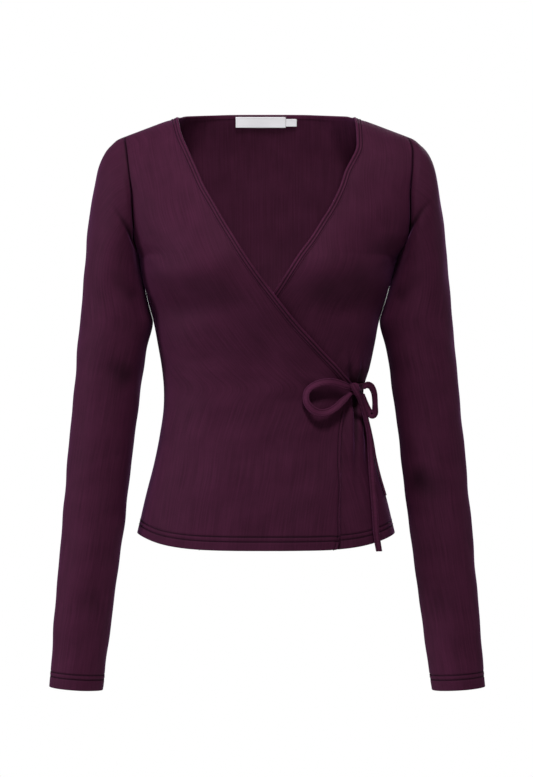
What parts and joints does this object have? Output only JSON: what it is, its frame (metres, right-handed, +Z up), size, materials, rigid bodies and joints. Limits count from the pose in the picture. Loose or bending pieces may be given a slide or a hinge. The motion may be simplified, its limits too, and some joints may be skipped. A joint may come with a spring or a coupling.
{
  "type": "wrap top",
  "caption": "Long-sleeved jersey wrap top, one front crossing over the other to a bow at the side of the waist, filled out as if worn.",
  "frame": {"origin": "midway between the two high shoulder points, where the neck edge meets the shoulder seams and the wearer's shoulders carry it", "axes": "+Z up, -Y the front, +X the wearer's left"},
  "size_m": [0.5448, 0.2352, 0.7336],
  "materials": {
    "jersey": "soft plum jersey with a slight sheen",
    "label": "white woven ribbon"
  },
  "bodies": {
    "root": {"back": "jersey", "front_right": "jersey", "front_left": "jersey", "sleeve_right": "jersey", "sleeve_left": "jersey", "neck_band_right": "jersey", "neck_band_back": "jersey", "neck_band_left": "jersey", "tie_knot": "jersey", "tie_loop_front": "jersey", "tie_loop_side": "jersey", "tie_tail_front": "jersey", "tie_tail_side": "jersey", "tie_stretch": "jersey", "neck_label": "label", "size_tab": "label"}
  },
  "joints": []
}
